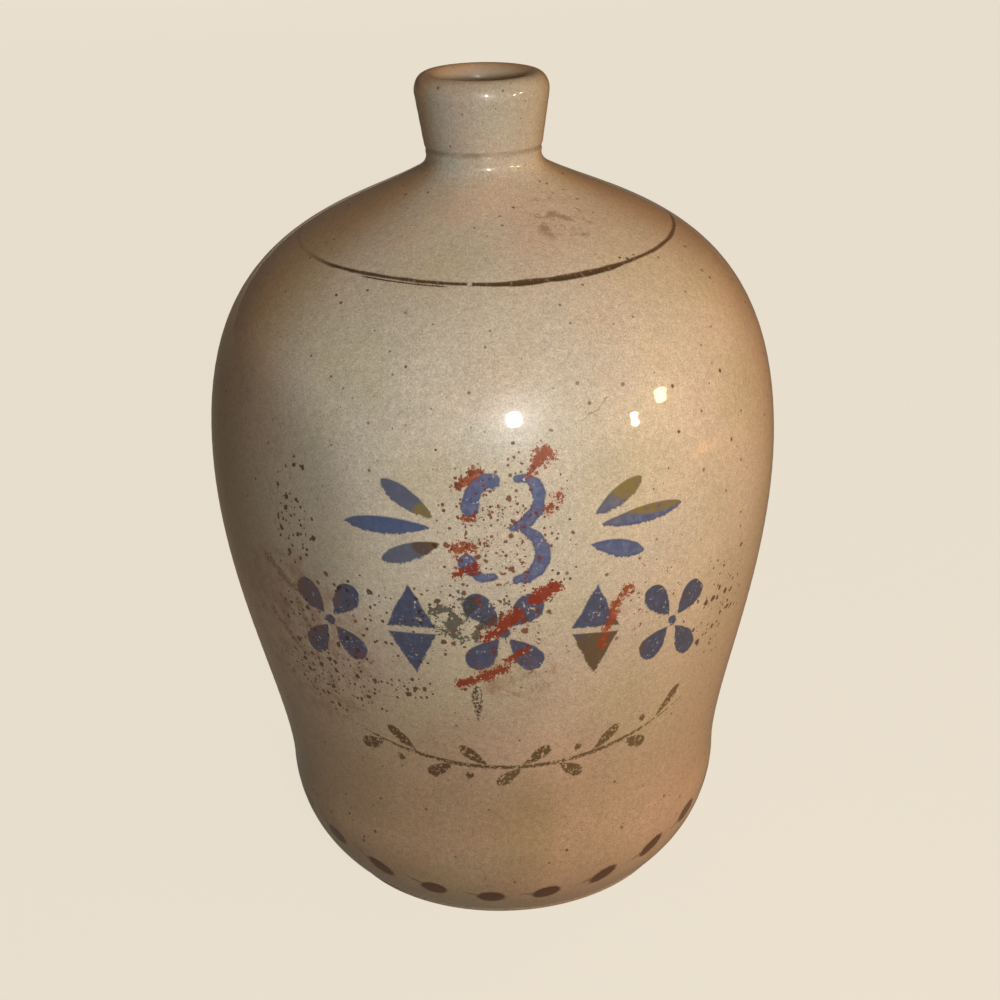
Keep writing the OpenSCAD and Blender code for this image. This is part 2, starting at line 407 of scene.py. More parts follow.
def leavesDepth(s, z, paint):
    strokes = []
    for near, far, half in paint["leaves"]:
        middle = ((near[0] + far[0]) / 2, (near[1] + far[1]) / 2)
        length = hypot(far[0] - near[0], far[1] - near[1])
        turn = degrees(atan2(far[1] - near[1], far[0] - near[0]))
        strokes.append(stroke(s, z, middle, (length / 2 + 0.3, half * 0.98), turn, leafGroup))
    return union(strokes)


def rowDepth(s, z, paint):  # rosettes and lozenges by turns, on a line that sags to both sides
    middle, height, fall, sag = paint["rowLine"]
    z = z - (height - s * fall - s * s * sag)
    cells = (s - middle) / paint["rowPitch"] + 0.5
    number = cells.floor()
    local = (cells - number - 0.5).abs() * paint["rowPitch"]
    tall = z.abs()
    reach = paint["rowReach"]
    petals = stroke(local, tall, (reach * 0.62, reach * 0.74), paint["rowPetal"], 50)
    rosette = petals.most(disc(local, tall, (0, 0), paint["rowEye"]))
    halfWide, halfTall = paint["rowLozenge"]
    lozenge = ((1 - local / halfWide - tall / halfTall) * (halfWide * 0.9)).least(tall - paint["rowSlit"])
    odd = number.fold(1)
    mark = rosette + (lozenge - rosette) * odd
    return mark.least((paint["rowCount"] * 0.5 - number.abs()) * 10)


def sprigDepth(s, z, paint):  # a low garland: one long stem with leaves set along it by turns
    ds = s - paint["sprigMiddle"][0]
    outward = ds.abs() / paint["sprigHalf"]
    up = z - outward * outward * paint["sprigRise"] - paint["sprigMiddle"][1]
    stem = (1 - outward).least(0.4) * 2.6 - up.abs()
    pitch = paint["sprigHalf"] / paint["sprigLeaves"]
    cells = outward * paint["sprigLeaves"]
    number = cells.floor()
    local = (cells - number) * pitch
    up = up * ((number + ds.above(0)).fold(1) * 2 - 1)
    length, width = paint["sprigLeaf"]
    lie = radians(paint["sprigTurn"])
    place = (length * 1.05 * cos(lie), length * 1.05 * sin(lie) + 0.6)
    leaf = stroke(local, up, place, (length, width), paint["sprigTurn"])
    low, radius = paint["sprigBerry"]
    berry = disc(local, up, (pitch * 0.55, low), radius).least((number.fold(1) - 0.5) * 9)
    return union([stem, leaf.most(berry).least((paint["sprigLeaves"] - 0.5 - number) * 10)])


# the paints, and one brown-grey that is painted shade on the left of the belly
paintColours = {
    "cobalt": "465687", "cobaltThin": "617098", "cobaltDeep": "384463", "slate": "3F5580", "olive": "857638",
    "oliveDeep": "66512B", "umber": "5A3E20", "rust": "8E3C14", "rustPale": "A85A36", "deepRust": "8A2600",
    "teal": "39504E", "dust": "8A5034", "leftShadeTone": "6A583A", "soot": "3A2410",
}

# how much each layer of paint, and of painted shade, hides
paintShares = {
    "numeral": 0.95, "leaves": 0.96, "row": 0.96, "olive": 0.88, "hazy": 0.22, "tip": 0.75, "teal": 0.85,
    "rust": 0.95, "deepRust": 0.97, "crumbs": 0.9, "garland": 0.95, "leftShade": 0.38, "dusty": 0.48, "specks": 0.88,
    "streaks": 0.8, "drip": 0.92, "pooled": 0.8, "slate": 0.65, "wornSpecks": 0.5,
}


def patch(s, z, middle, radii):  # 1 in the middle of an oval patch and 0 from its edge outwards
    ds, dz = (s - middle[0]) / radii[0], (z - middle[1]) / radii[1]
    return (ds * ds + dz * dz).step(1, 0)


def paintedFront(paint, shades, shares):
    tree, given, out = newGroup("paintedFront", [("Position", "vector"), ("Ground", "colour")],
                                [("Color", "colour"), "Coverage"])
    trueS, trueZ, _, where = useGroup(tree, placesGroup, Position=given["Position"]).values()
    ragged, bent, thin, speckle, blotch, flake = (noise(where, *grain, "2D") for grain in (
        (0.55, 3, 0.6), (0.16, 1, 0.5), (0.28, 4, 0.65), (1.7, 2, 0.6), (0.13, 5, 0.68), (0.62, 3, 0.6)))
    s = trueS + (bent - 0.5) * 1.6
    z = trueZ + (ragged - 0.5) * 1.2
    bentFlat = vector(s, z, 0)
    edge = (ragged - 0.5) * 1.3
    torn = (flake - 0.5) * 9 + (blotch - 0.5) * 7 + (speckle - 0.5) * 4
    painted, cover = given["Ground"], None

    def laid(depth):  # the inside of a mark, with a ragged edge
        return (depth + edge).step(-0.5, 0.5)

    def around(kind):  # how near a place is to the patches where this kind of mark lies
        return union([patch(trueS, trueZ, middle, reach) * share for middle, reach, share in paint[kind]])

    def smears(kind, tear, soft):  # torn at their edges
        lengths = [(start, end, half * 0.75, half * 0.85) for start, end, half in paint[kind]]
        return (lengthsDepth(bentFlat, lengths) + torn * tear).step(*soft)

    def blend(share, first, second):  # of two paints by name, or of mixes made before
        return mix(share, *(shades[each] if isinstance(each, str) else each for each in (first, second)))

    def lay(name, there, shade, wet=True):
        nonlocal painted, cover
        share = there * shares[name]
        painted = blend(share, painted, shade)
        if wet:
            cover = share if cover is None else cover.most(share)

    # cobalt numeral, leaves and row, thin in places and darker where paint gathered at an edge
    strokes = [(a[:2], b[:2], a[2], b[2]) for line in paint["numeral"] for a, b in zip(line, line[1:])]
    numeralDeep, leavesDeep = lengthsDepth(bentFlat, strokes), leavesDepth(s, z, paint)
    pooled = (union([numeralDeep, leavesDeep]) + edge).step(1.5, 0.3) * (thin * 1.2).least(1)
    blue = blend(thin.step(0.38, 0.72), "cobalt", "cobaltThin")
    blue = blend(pooled * shares["pooled"], blue, "cobaltDeep")
    blue = blend(trueS.step(-18, -36) * shares["slate"], blue, "slate")
    leaves, row = laid(leavesDeep), laid(rowDepth(s, z, paint))
    lay("numeral", laid(numeralDeep) * (flake + blotch).step(0.7, 0.8), blue)
    lay("leaves", leaves, blue)
    lay("row", row * (flake + blotch * 0.8).step(0.6, 0.72), blend(thin.step(0.4, 0.8), "cobaltDeep", "cobalt"))

    # olive brushed over the right leaves, the tips of the left ones and parts of the row
    streaky = thin + speckle * 0.3
    over = union([leaves, row]) * around("olive").step(0.04, 0.6) * streaky.step(0.32, 0.62)
    lay("olive", over, blend(trueZ.step(190, 210), "oliveDeep", "olive"))
    lay("hazy", leaves * around("hazy").step(0, 0.5), "olive")
    lay("tip", leaves * around("tip").step(0.05, 0.6) * streaky.step(0.36, 0.56), "umber")

    # teal and dark flakes at the left of the row's middle
    teal = around("teal")
    flakes = (blotch + teal * 0.22 + (flake - 0.5) * 0.45).step(0.7, 0.73) * teal.above(0.02)
    lay("teal", flakes, blend(speckle.step(0.4, 0.6), "teal", "soot"))

    # rusty overpaint: smears with torn edges, and crumbs of it around the numeral and through the row
    lay("rust", smears("rust", 1, (0.1, 1)), blend(thin.step(0.45, 0.75), "rust", "rustPale"))
    lay("deepRust", smears("deepRust", 0.9, (0, 0.9)), blend(thin.step(0.5, 0.85), "deepRust", "rust"))
    worn = around("worn")
    crumbs = (blotch * 0.6 + worn * 0.16 + (flake - 0.5) * 0.62).step(0.56, 0.588) * worn.above(0.02)
    lay("crumbs", crumbs, blend(speckle.step(0.4, 0.62), "rust", "soot"))

    # olive and umber garland
    garland = (sprigDepth(s, z, paint) + edge * 1.4).step(-0.45, 0.45) * (flake + thin * 0.7).step(0.68, 0.8)
    lay("garland", garland, blend((trueS + blotch * 40).step(0, 70), "umber", "oliveDeep"))

    # painted shade on the left of the belly, dust on the clay, and dark specks at both sides of the row, thicker
    # to the left
    lay("leftShade", around("leftShade").step(0, 0.8), "leftShadeTone", False)
    lay("dusty", around("dusty").step(0, 0.6) * (blotch + (flake - 0.5) * 0.3).step(0.36, 0.7), "dust", False)
    speckled = around("speckled") * 0.8
    specks = union([cellSpots(where, cells, lambda pick: (speckled - pick).above(0),
                              lambda random: random * 0.3 + (flake - 0.5) * 0.35,
                              lambda wide: (wide + 0.03, wide - 0.03), "2D") for cells in (0.19, 0.36)])
    dark = blend(worn.step(0, 0.5) * shares["wornSpecks"], "soot", "rust")
    lay("specks", specks, blend((thin + blotch * 0.5).step(0.74, 1.04), dark, "rust"))
    lay("streaks", smears("streaks", 0.5, (0, 0.9)) * (speckle + flake * 0.5).step(0.62, 0.86), "oliveDeep")
    lay("drip", laid(stroke(s, z, *paint["drip"], 90)) * (flake + speckle * 0.5).step(0.66, 0.8), "soot")
    plugAll(out, Color=painted, Coverage=cover)
    return tree


frontGroup = paintedFront(frontPaint, paintColours, paintShares)
print("glaze, brush and paint groups made")


# Materials of the four pieces

# the flanks' tone is a brown that is painted on as shade
glazeTones = {"cool": "CAC6B8", "warm": "D0C5B3", "foot": "B99C7E", "lip": "B5B1A2", "flankshade": "BC9A70",
              "hole": "5E472C"}
glazeFinish = {"roughness": 0.36, "specular": 0.4, "ior": 1.5, "coat": 1, "coatRoughness": 0.05, "bump": 0.00014,
               "inside": "B8B0A2", "insideShare": 0.8, "insideMatte": 0.85,
               "groove": "6A5636", "grooveShare": 0.48}


def paleInsideDarkGrooves(finish):  # a paler, cooler, duller inside, partly painted light against the shade and the warm lamps there, and darker in the grooves
    tree, given, out = newGroup("paleInsideDarkGrooves", [("Position", "vector"), ("Ground", "colour"), "Inside",
                                             "Groove"], [("Color", "colour"), "Coat"])
    inside, patchy = given["Inside"], noise(given["Position"], 120, 3, 0.6).step(0.25, 0.6)
    # partly painted light: the inside is paler and cooler than the clay around it
    skin = mix(inside * finish["insideShare"], given["Ground"], finish["inside"])
    # darker in the grooves, and where the handle's roots meet the clay
    skin = mix(given["Groove"] * patchy * finish["grooveShare"], skin, finish["groove"])
    plugAll(out, Color=skin, Coat=finish["coat"] - inside * finish["insideMatte"])
    return tree


insideGrooveGroup = paleInsideDarkGrooves(glazeFinish)


def glazedMaterial(name, tones, finish, grain, flags, paint):
    material = bpy.data.materials.new(name)
    material.use_nodes = True
    tree = material.node_tree
    where = node(tree, "ShaderNodeTexCoord").outputs["Object"]
    ground = useGroup(tree, glazeGroup, Position=where, Grain=grain,
                      **{label.capitalize(): code for label, code in tones.items()})
    skin, rough = ground["Color"], ground["Gloss"] + finish["roughness"]
    if paint:
        skin, rough = paint(tree, where, skin, rough)
    # a paler inside, partly painted light, and darker grooves
    worn = useGroup(tree, insideGrooveGroup, Position=where, Ground=skin,
                    **{flag.capitalize(): attribute(tree, flag) for flag in flags})
    coat = worn["Coat"] if "inside" in flags else finish["coat"]
    bump = node(tree, "ShaderNodeBump", Height=ground["Height"], Distance=finish["bump"], Strength=1)
    plugAll(tree.nodes["Principled BSDF"].inputs, Base_Color=worn["Color"], Roughness=rough, Coat_Weight=coat,
            Normal=bump.outputs["Normal"], IOR=finish["ior"], Specular_IOR_Level=finish["specular"],
            Coat_Roughness=finish["coatRoughness"])
    return material


def frontMarks(tree, where, skin, rough):  # the painted front, and the places that more marks are drawn by
    front = useGroup(tree, frontGroup, Position=where, Ground=skin)
    return front["Color"], rough + front["Coverage"] * 0.14, *useGroup(tree, placesGroup, Position=where).values()


# the dabs round the foot: how many, the first one's angle, their height in front, how much higher they are at the
# sides, and half the length and width of a dab and of its tail. Under them the clay is greener in one patch
dabs = {"count": 23, "first": -4.9, "low": 18.8, "rise": 24, "half": (9.2, 4.4), "tail": (7.5, 1.1),
        "tailTo": (-12, 0), "browns": ("481F00", "663404"), "green": ((10, 66), (26, 46)), "greenShare": 0.22,
        "greenShade": "948A52"}


def lowerMarks(tree, where, skin, rough):  # the painted front and the dabs round the foot
    skin, rough, s, z, way, flat = frontMarks(tree, where, skin, rough)
    pitch = 360 / dabs["count"]
    turns = way * (180 / pi / pitch) - dabs["first"] / pitch + 0.5
    number = turns.floor()
    local = (turns - number - 0.5) * (pitch * pi / 180 * bellyR / mm)
    jitter = node(tree, "ShaderNodeTexWhiteNoise", {"noise_dimensions": "1D"}, W=number)
    offS, offZ, offTurn = (off - 0.5 for off in parts(jitter.outputs["Color"]))
    side = way.sin()
    level = z - side * side * dabs["rise"] - dabs["low"] - offZ * 1.6
    ragged = (noise(flat, 0.7, 3, 0.6, "2D") - 0.5) * 1.5
    along, tilt = local - offS * 2, offTurn * 0.3 + 0.05
    halfLong, halfTall = dabs["half"]
    long, tall = (along + level * tilt) / halfLong, (level - along * tilt) / halfTall
    dab = (1 - (long * long + tall * tall).sqrt()) * halfTall
    lift = 1 - side * 2.4  # the thin end rises on the left of the jug and dips on the right
    tail = stroke(along, level - lift, dabs["tailTo"], dabs["tail"], offTurn * 0.3 - lift * 0.11)
    thin = noise(flat, 0.5, 3, 0.65, "2D").step(0.3, 0.44) * 0.08 + 0.92
    cover = (dab + ragged).step(-0.7, 0.7).most((tail + ragged * 1.5).step(-0.2, 0.9) * 0.6) * thin * z.below(60)
    brown = mix(noise(flat, 0.4, 2, 0.5, "2D"), *dabs["browns"])
    green = patch(s, z, *dabs["green"]).step(0, 0.9) * dabs["greenShare"]
    skin = mix(green, skin, dabs["greenShade"])
    return mix(cover, skin, brown), rough + cover * 0.1


# low, high and thick are humps in the line: where round the jug, how far they reach to both sides, and how much
# lower, higher or thicker the line is in their middle. A second, thinner line runs beside it in one patch
ring = {"height": 318.7, "half": 0.5, "low": (14, 95, 0.4), "high": (-58, 62, -0.45), "thick": (50, 50, 0.85),
        "gap": -12, "second": -0.95, "secondHalf": 0.2, "secondPatch": ((-58, 318), (36, 30)),
        "fade": (-165, -112), "browns": ("2E1C02", "6A4A20"), "share": 0.96}
smudge = {"place": ((82, 334.2), (44, 8.5)), "shade": "80583A", "share": 0.55}
scratch = {"place": ((46, 274), (9, 9)), "height": 273.5, "slope": 0.3, "half": 0.3,
           "shade": "7E6A48", "share": 0.6}


def shoulderMarks(tree, where, skin, rough):  # the painted front, the thin line, a smudge and a scratch
    skin, rough, s, z, _, flat = frontMarks(tree, where, skin, rough)
    around = vector(s * 0.02, 3, 7)
    sway = (noise(around, 1.3, 2) - 0.5) * 0.9
    press = noise(around, 3.1, 3, 0.6)
    ragged = (noise(flat, 0.9, 3, 0.6, "2D") - 0.5) * 0.9

    def hump(place, reach, most):
        out = (s - place) / reach
        return (1 - out * out).most(0) * most

    middle = z - ring["height"] + hump(*ring["low"]) + hump(*ring["high"])
    half = (press * 0.62 + ring["half"] * 0.42) * (hump(*ring["thick"]) + 0.95)
    unbroken = (s - ring["gap"]).abs().step(0.6, 2.2)
    first = (half - (middle - sway).abs() + ragged * 0.3).step(-0.24, 0.24) * unbroken
    beside = (middle - ring["second"] - sway * 0.4).abs()
    second = (ring["secondHalf"] - beside + ragged * 0.5).step(-0.12, 0.12)
    second = second * patch(s, z, *ring["secondPatch"]).step(0, 0.4)
    broken = noise(flat, 0.35, 3, 0.7, "2D").step(0.3, 0.42)
    cover = first.most(second) * (s.step(*ring["fade"]) * 0.8 + 0.2) * (broken * 0.25 + 0.75)
    upper = (middle - sway).step(-0.5, 0.9)  # the line is paler there
    pale = press * 0.45 + s.step(70, 170) * 0.5 + upper * 0.5
    brown = mix(pale, *ring["browns"])
    skin = mix(cover * ring["share"], skin, brown)
    smudged = patch(s, z, *smudge["place"]).step(0, 0.7) * noise(where, 150, 4, 0.65).step(0.5, 0.62)
    skin = mix(smudged * smudge["share"], skin, smudge["shade"])
    wander = (noise(flat, 0.12, 2, 0.5, "2D") - 0.5) * 9
    level = (z - scratch["height"] - (s - scratch["place"][0][0]) * scratch["slope"] + wander).abs()
    scratched = (scratch["half"] - level).step(-0.1, 0.1) * patch(s, z, *scratch["place"]).step(0, 0.2)
    return mix(scratched * scratch["share"], skin, scratch["shade"]), rough + cover * 0.1


# of each piece: its grain, the flags that its mesh carries, and its marks
pieceLooks = {
    "lower_body": (1, ("groove", "inside"), lowerMarks),
    "shoulder": (1, ("groove", "inside"), shoulderMarks),
    "neck": (0.9, ("groove", "inside"), None),
    "handle": (1, ("groove",), None),
}
materials = {piece: glazedMaterial(piece + "_glaze", glazeTones, glazeFinish, *look)
             for piece, look in pieceLooks.items()}
print("materials made:", ", ".join(materials))


# Profiles of the thrown pieces, as radius and height in metres. Lengths are in millimetres

lowerForm = {"baseD": 166, "edge": 2.4, "heelD": 214, "heelH": 51, "wall": 9.5, "floor": 12, "fillet": 9,
             "tongue": 4, "heelPullShare": 0.23, "underBellyShare": 0.39}
shoulderForm = {"rise": 129, "rootD": 71.5, "slope": 27.5, "collarH": 9.5, "waistD": 52.5, "overBellyShare": 0.76,
                "rootPullShare": 0.52, "collarPullShare": 0.5, "spigotH": 8, "ledge": 3}
neckForm = {"mouthD": 38, "crownH": 7.5, "flareH": 5, "throatD": 36}
band = 0.06  # a narrow ring of faces beside each joint keeps the shading straight there


def curve(points, steps, depth=0):  # a cubic curve, set back by depth on its left side
    made = []
    for i in range(steps + 1):
        t = i / steps
        a, b, c, d = (Vector(p) for p in points)
        place = (1 - t) ** 3 * a + 3 * (1 - t) ** 2 * t * b + 3 * (1 - t) * t * t * c + t ** 3 * d
        way = ((1 - t) ** 2 * (b - a) + 2 * (1 - t) * t * (c - b) + t * t * (d - c)).normalized()
        made.append(place + depth * Vector((-way.y, way.x)))
    return made


def arc(centre, wide, tall, start, end, steps):
    angles = (radians(start + (end - start) * i / steps) for i in range(steps + 1))
    return [Vector((centre[0] + wide * cos(a), centre[1] + tall * sin(a))) for a in angles]


def line(start, end, steps):
    return [Vector(start).lerp(Vector(end), i / steps) for i in range(steps + 1)]


def joined(*runs):  # the runs end to end, without a point twice
    points = []
    for p in (Vector(p) for run in runs for p in run):
        if not points or (p - points[-1]).length > 1e-4:
            points.append(p)
    return points


def profiles():  # of each piece, the outside, and the inside with the joints
    low, top, cap = lowerForm, shoulderForm, neckForm
    belly, bellyH, joint, crest = (v / mm for v in (bellyR, bellyZ, jointZ, lipTop))
    heelR, heelH, edge = low["heelD"] / 2, low["heelH"], low["edge"]
    step = heelR - low["baseD"] / 2
    arcR = (heelH ** 2 + step ** 2) / (2 * step)
    centre = (heelR - arcR, heelH)
    foot = arc(centre, arcR, arcR, degrees(asin((edge - heelH) / arcR)), 0, 44)
    rim = arc((foot[0].x - edge, edge), edge, edge, -90, 0, 10)
    innerR = arcR - low["wall"]
    innerA = degrees(asin((low["floor"] + low["fillet"] - heelH) / innerR))
    footIn = arc(centre, innerR, innerR, innerA, 0, 12)
    corner = (footIn[0].x, low["floor"])
    fillet = curve([(corner[0] - low["fillet"], corner[1]), corner, corner, footIn[0]], 8)
    rise = bellyH - heelH
    wall = [(heelR, heelH), (heelR, heelH + low["heelPullShare"] * rise),
            (belly, bellyH - low["underBellyShare"] * rise), (belly, bellyH)]
    innerWall, tongueR, tongueZ = belly - low["wall"], belly - low["wall"] / 2, bellyH + low["tongue"]
    lower = [joined(line((0, 0), (rim[0].x, 0), 14), rim, foot, curve(wall, 120)[:-1],
                    line((belly, bellyH - band), (belly, bellyH), 1)),
             joined([(tongueR, bellyH), (tongueR, tongueZ), (innerWall, tongueZ)],
                    reversed(curve(wall, 30, low["wall"])), reversed(footIn), reversed(fillet),
                    line((fillet[0].x, low["floor"]), (0, low["floor"]), 10))]
    rootR, waistR, throatR = top["rootD"] / 2, top["waistD"] / 2, cap["throatD"] / 2
    rootZ, spigotR, spigotZ = joint - top["collarH"], (throatR + waistR) / 2, joint - top["spigotH"]
    ledgeZ = spigotZ - top["ledge"]
    cosine, sine = cos(radians(top["slope"])), sin(radians(top["slope"]))
    pull, lift = top["rootPullShare"] * (belly - rootR), top["collarPullShare"] * (rootR - waistR)
    over = [(belly, bellyH), (belly, bellyH + top["overBellyShare"] * top["rise"]),
            (rootR + pull * cosine, rootZ - pull * sine), (rootR, rootZ)]
    collar = [(rootR, rootZ), (rootR - lift * cosine, rootZ + lift * sine),
              (waistR, joint - top["collarPullShare"] * top["collarH"]), (waistR, joint)]
    inner = [p for p in reversed(curve(over, 34, low["wall"])) if p.y > tongueZ]
    shoulder = [joined(line((belly, bellyH), (belly, bellyH + band), 1), curve(over, 130)[1:], curve(collar, 30)),
                joined([(spigotR, joint), (spigotR, spigotZ), (throatR, spigotZ), (throatR, ledgeZ)], inner,
                       [(innerWall, tongueZ), (tongueR, tongueZ), (tongueR, bellyH), (belly, bellyH)])]
    lipOuter, mouthR = lipR / mm, cap["mouthD"] / 2
    crownR, crownZ = (lipOuter - mouthR) / 2, crest - cap["crownH"]
    flareZ = crownZ - cap["flareH"]
    taper = (lipOuter - waistR) / (crownZ - joint)
    startA = -degrees(atan(taper * cap["crownH"] / crownR))
    crown = arc((mouthR + crownR, crownZ), crownR, cap["crownH"], startA, 180, 56)
    above = (waistR, joint + band)
    neck = [joined(line((waistR, joint), above, 1), line(above, crown[0], 62), crown),
            joined(line(crown[-1], (throatR, flareZ), 6), line((throatR, flareZ), (throatR, spigotZ), 20),
                   [(spigotR, spigotZ), (spigotR, joint), (waistR, joint)])]
    return {"lower_body": lower, "shoulder": shoulder, "neck": neck}


def throatShare(piece, p):  # 0 on the neck's outside, up to 1 at the mouth's edge
    mouthR = neckForm["mouthD"] / 2
    half = (lipR / mm - mouthR) / 2
    if piece != "neck" or p.y < lipTop / mm - neckForm["crownH"]:
        return 0
    return max(0, min(1, (mouthR + half - p.x) / half)) ** 1.5


def profileMesh(piece, outside, inside):  # points in the XZ plane that say which side they are on
    name = piece + "Profile"
    points = joined(outside, inside) if (outside[-1] - inside[0]).length < 1e-4 else outside + inside
    data = bpy.data.meshes.new(name)
    data.from_pydata([(p.x * mm, 0, p.y * mm) for p in points], [(i, i + 1) for i in range(len(points) - 1)], [])
    flag = data.attributes.new("inner", "FLOAT", "POINT")
    isOutside = [i < len(outside) or (p - outside[0]).length < 1e-4 for i, p in enumerate(points)]
    flag.data.foreach_set("value", [throatShare(piece, p) if out else 1 for p, out in zip(points, isOutside)])
    return addObject(name, data)


# Geometry Nodes that throw a piece: the profile goes round the axis on a grid, and the wheel leaves faint rings.
# The groove is scored round the neck. The neck sags to one side, more and more from the joint up to the crown

wheel = {"Wobble": 0.45 * mm, "Ring Depth": 0.1 * mm, "Ring Pitch": 6.5 * mm, "Seed": 7.0,
         "Groove Height": 356.1 * mm, "Groove Tilt": -0.06, "Groove Half": 1.7 * mm, "Groove Depth": 0.35 * mm,
         "Sag From": jointZ, "Sag To": lipTop - neckForm["crownH"] * mm,
         "Crest": (lipR / mm + neckForm["mouthD"] / 2) / 2 * mm}  # the lip's crest, which is kept from rising
weldGap = 0.002 * mm
sharpFrom = 50  # degrees between two faces


def throwTree():
    inputs = [("Profile", "shape"), ("Steps Round", "count"), *wheel, "Sag X", "Sag Y", ("Glaze", "material")]
    tree, given, out = newGroup("thrownOnWheel", inputs, [("Thrown", "shape")], "GeometryNodeTree")
    tree.is_modifier = True

    def make(kind, settings=None, **inputs):
        return node(tree, "GeometryNode" + kind, settings, **inputs).outputs[0]

    count = Field(make("AttributeDomainSize", Geometry=given["Profile"]))
    grid = make("MeshGrid", Vertices_X=given["Steps Round"] + 1, Vertices_Y=count)
    index = Field(make("InputIndex"))
    column = ((index + 0.5) / count).floor()
    row = index - column * count

    def sample(kind, value):
        return make("SampleIndex", {"data_type": kind}, Geometry=given["Profile"], Value=value, Index=row)

    radius, _, height = parts(sample("FLOAT_VECTOR", make("InputPosition")))
    inner = Field(sample("FLOAT", make("InputNamedAttribute", {"data_type": "FLOAT"}, Name="inner")))
    angle = column / given["Steps Round"] * (2 * pi)
    cosine, sine = angle.cos(), angle.sin()
    drift = noise(vector(cosine * 0.9 + given["Seed"], sine * 0.9, height * 9), 1, 1)
    ringPhase = height / given["Ring Pitch"] * (2 * pi) + angle
    uneven = noise(vector(cosine * 0.4, sine * 0.4, height * 60), 1, 1)
    rings = (0.5 - ringPhase.sin() * 0.5) * uneven * given["Ring Depth"]
    near = (radius / (2 * mm)).least(1) * height.step(0, 4 * mm)  # nothing moves at the axis or on the base
    inward = (drift * given["Wobble"] + rings) * (1 - inner) * near
    level = (height - given["Groove Height"] - radius * sine * given["Groove Tilt"]) / given["Groove Half"]
    groove = (1 - level * level).most(0) * (1 - inner)
    reached = radius - inward - groove * groove * given["Groove Depth"]
    x, y = reached * cosine, reached * sine
    share = height.step(given["Sag From"], given["Sag To"])
    sagX, sagY = given["Sag X"], given["Sag Y"]
    sag = (x * sagX + y * sagY - (sagX * sagX + sagY * sagY).sqrt() * given["Crest"]) * share
    thrown = make("SetPosition", Geometry=grid, Position=vector(x, y, height + sag))
    for label, value in (("inside", inner), ("groove", groove)):
        thrown = make("StoreNamedAttribute", {"data_type": "FLOAT"}, Geometry=thrown, Name=label, Value=value)
    thrown = make("MergeByDistance", Geometry=thrown, Distance=weldGap)
    thrown = make("SetShadeSmooth", Geometry=thrown)
    bend = Field(make("InputMeshEdgeAngle")).above(radians(sharpFrom))
    thrown = make("SetShadeSmooth", {"domain": "EDGE"}, Geometry=thrown, Selection=bend, Shade_Smooth=False)
    thrown = make("RealizeInstances", Geometry=thrown)
    plugAll(out, Thrown=make("SetMaterial", Geometry=thrown, Material=given["Glaze"]))
    return tree


def throwPiece(piece, tree, profile, material, steps, sag=(0.0, 0.0)):
    base = profileMesh(piece, *profile)
    modifier = base.modifiers.new("thrown", "NODES")
    modifier.node_group = tree
    slots = {s.name: s.identifier for s in tree.interface.items_tree if s.in_out == "INPUT"}
    values = {**wheel, "Steps Round": steps, "Sag X": sag[0], "Sag Y": sag[1], "Glaze": material}
    for label, value in values.items():
        modifier[slots[label]] = value
    bpy.context.view_layer.update()
    made = bpy.data.meshes.new_from_object(base.evaluated_get(bpy.context.evaluated_depsgraph_get()))
    base.modifiers.remove(modifier)
    bpy.data.objects.remove(base)
    return addObject(piece + "_thrown", made)


pieceSteps = {"lower_body": 288, "shoulder": 288, "neck": 192}
neckSag = (-0.012, -0.034)  # rise of the lip per unit to the right and to the back
pieces = {}
shapes = profiles()
wheelTree = throwTree()
for nodeName, steps in pieceSteps.items():
    sag = neckSag if nodeName == "neck" else (0.0, 0.0)
    pieces[nodeName] = throwPiece(nodeName, wheelTree, shapes[nodeName], materials[nodeName], steps, sag)
    print("thrown:", nodeName, len(pieces[nodeName].data.polygons), "faces")


# The pulled strap handle

strap = {"rootH": 14, "rise": 10, "reach": 92, "foot": 84, "drop": 9, "wide": 27, "thick": 12, "groove": 2,
         "neckWide": 40, "footWide": 52, "rootThick": 18, "spreadPower": 3, "groovePower": 8,
         "rings": 150, "sides": 72, "sink": 3, "neckFillet": 3.6, "footFillet": 6, "crease": 2.2}


def outlineAt(radius, outline):  # the shoulder's height at a radius, and its slope
    for a, b in zip(outline, outline[1:]):
        if b.x <= radius <= a.x:
            height = a.y + (b.y - a.y) * (a.x - radius) / max(a.x - b.x, 1e-9)
            return height, Vector((b.y - a.y, a.x - b.x)).normalized()
    return outline[-1].y, Vector((1, 0))


def clayGap(place, outline, atNeck):  # how far a place is out of the clay, and which way is out
    radius = hypot(place.x, place.y)
    if atNeck:
        joint, waistR = jointZ / mm, shoulderForm["waistD"] / 2
        taper = (lipR / mm - waistR) / (lipTop / mm - neckForm["crownH"] - joint)
        slope = Vector((1, -taper)).normalized()
        gap = (radius - waistR - taper * (place.z - joint)) * slope.x
    else:
        height, slope = outlineAt(radius, outline)
        gap = (place.z - height) * slope.y
    return gap, Vector((place.x / radius * slope.x, place.y / radius * slope.x, slope.y))


